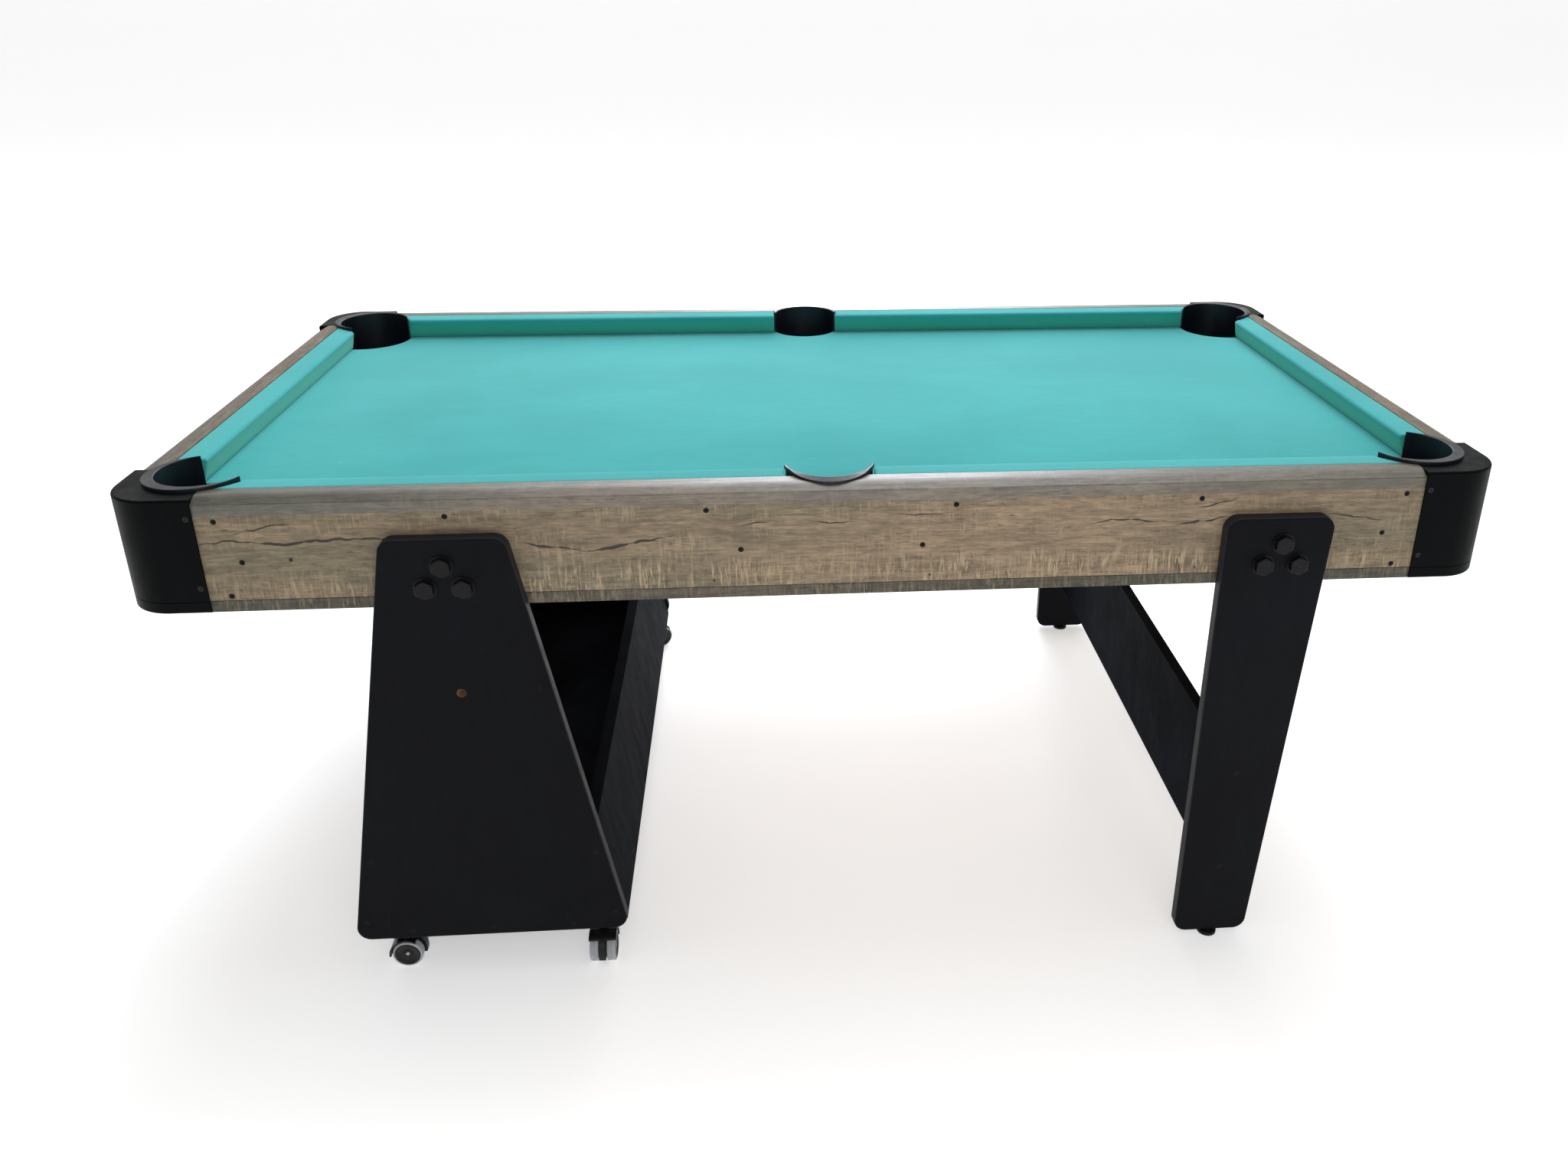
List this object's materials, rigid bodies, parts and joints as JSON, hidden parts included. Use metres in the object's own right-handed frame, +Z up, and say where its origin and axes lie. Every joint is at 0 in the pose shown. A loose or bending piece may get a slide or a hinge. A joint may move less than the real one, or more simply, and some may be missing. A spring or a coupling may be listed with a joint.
{
  "type": "pool table",
  "caption": "Six-foot pool table: laminated cabinet with six drop pockets and cloth bed, on a rolling trapezoid base with an open bin and two tapered legs.",
  "frame": {"origin": "on the floor, under the middle of the cabinet", "axes": "+X along the cabinet towards the two tapered legs, +Y towards the back, +Z up"},
  "size_m": [1.906, 1.082, 0.791],
  "materials": {
    "tan_laminate": "printed rough-sawn wood grain, matt",
    "grey_laminate": "printed weathered grey-brown wood grain, matt",
    "raw_wood": "bare softwood",
    "bed_board": "bare fibreboard",
    "bed_cloth": "stretched turquoise cloth",
    "cushion": "rubber cushion under turquoise cloth",
    "cap_plastic": "black moulded plastic, fine grain",
    "pocket_plastic": "black moulded plastic, smooth",
    "black_board": "black melamine-faced board",
    "black_steel": "black finished steel",
    "zinc_steel": "zinc plated",
    "foot_plastic": "black pad on a steel stem",
    "hood_plastic": "black moulded plastic",
    "wheel_plastic": "black hub with a light grey tread"
  },
  "bodies": {
    "root": {"apron_front": "tan_laminate", "apron_back": "tan_laminate", "apron_left": "tan_laminate", "apron_right": "tan_laminate", "trim_front": "grey_laminate", "trim_back": "grey_laminate", "trim_left": "grey_laminate", "trim_right": "grey_laminate", "rail_front": "grey_laminate", "rail_back": "grey_laminate", "rail_left": "grey_laminate", "rail_right": "grey_laminate", "rail_battens": "raw_wood", "corner_blocks": "raw_wood", "cross_beams": "raw_wood", "bed_board": "bed_board", "bed_cloth": "bed_cloth", "cushion_front_left": "cushion", "cushion_front_right": "cushion", "cushion_back_left": "cushion", "cushion_back_right": "cushion", "cushion_left": "cushion", "cushion_right": "cushion", "corner_cap_front_left": "cap_plastic", "corner_cap_front_right": "cap_plastic", "corner_cap_back_right": "cap_plastic", "corner_cap_back_left": "cap_plastic", "pocket_front_left": "pocket_plastic", "pocket_front_right": "pocket_plastic", "pocket_back_right": "pocket_plastic", "pocket_back_left": "pocket_plastic", "pocket_middle_front": "pocket_plastic", "pocket_middle_back": "pocket_plastic", "base_panel_front": "black_board", "base_panel_back": "black_board", "base_side_left": "black_board", "base_side_right": "black_board", "base_floor": "black_board", "leg_front": "black_board", "leg_back": "black_board", "leg_brace": "black_board", "leg_bolts": "black_steel", "bolt_washers": "black_steel", "apron_screws": "black_steel", "panel_screws": "black_steel", "cap_screws": "black_steel", "bolt_nuts": "zinc_steel", "foot_inserts": "zinc_steel", "caster_plates": "zinc_steel", "caster_screws": "zinc_steel"},
    "caster_front_left": {"caster_hood_front_left": "hood_plastic"},
    "wheels_front_left": {"caster_wheels_front_left": "wheel_plastic"},
    "caster_front_right": {"caster_hood_front_right": "hood_plastic"},
    "wheels_front_right": {"caster_wheels_front_right": "wheel_plastic"},
    "caster_back_left": {"caster_hood_back_left": "hood_plastic"},
    "wheels_back_left": {"caster_wheels_back_left": "wheel_plastic"},
    "caster_back_right": {"caster_hood_back_right": "hood_plastic"},
    "wheels_back_right": {"caster_wheels_back_right": "wheel_plastic"},
    "foot_front": {"foot_front": "foot_plastic"},
    "foot_back": {"foot_back": "foot_plastic"}
  },
  "joints": [
    {"name": "swivel_front_left", "type": "hinge", "parent": "root", "child": "caster_front_left", "pos_m": [-0.678, -0.494, 0.055], "axis": [0, 0, 1], "continuous": true},
    {"name": "roll_front_left", "type": "hinge", "parent": "caster_front_left", "child": "wheels_front_left", "pos_m": [-0.658, -0.494, 0.023], "axis": [0, 1, 0], "continuous": true},
    {"name": "swivel_front_right", "type": "hinge", "parent": "root", "child": "caster_front_right", "pos_m": [-0.358, -0.494, 0.055], "axis": [0, 0, 1], "continuous": true},
    {"name": "roll_front_right", "type": "hinge", "parent": "caster_front_right", "child": "wheels_front_right", "pos_m": [-0.358, -0.514, 0.023], "axis": [1, 0, 0], "continuous": true},
    {"name": "swivel_back_left", "type": "hinge", "parent": "root", "child": "caster_back_left", "pos_m": [-0.678, 0.494, 0.055], "axis": [0, 0, 1], "continuous": true},
    {"name": "roll_back_left", "type": "hinge", "parent": "caster_back_left", "child": "wheels_back_left", "pos_m": [-0.69532, 0.504, 0.023], "axis": [-0.5, -0.866, 0], "continuous": true},
    {"name": "swivel_back_right", "type": "hinge", "parent": "root", "child": "caster_back_right", "pos_m": [-0.358, 0.494, 0.055], "axis": [0, 0, 1], "continuous": true},
    {"name": "roll_back_right", "type": "hinge", "parent": "caster_back_right", "child": "wheels_back_right", "pos_m": [-0.34162, 0.50547, 0.023], "axis": [-0.5736, 0.8192, 0], "continuous": true},
    {"name": "level_front", "type": "slide", "parent": "root", "child": "foot_front", "axis": [0, 0, -1], "range_m": [0, 0.012]},
    {"name": "level_back", "type": "slide", "parent": "root", "child": "foot_back", "axis": [0, 0, -1], "range_m": [0, 0.012]}
  ]
}
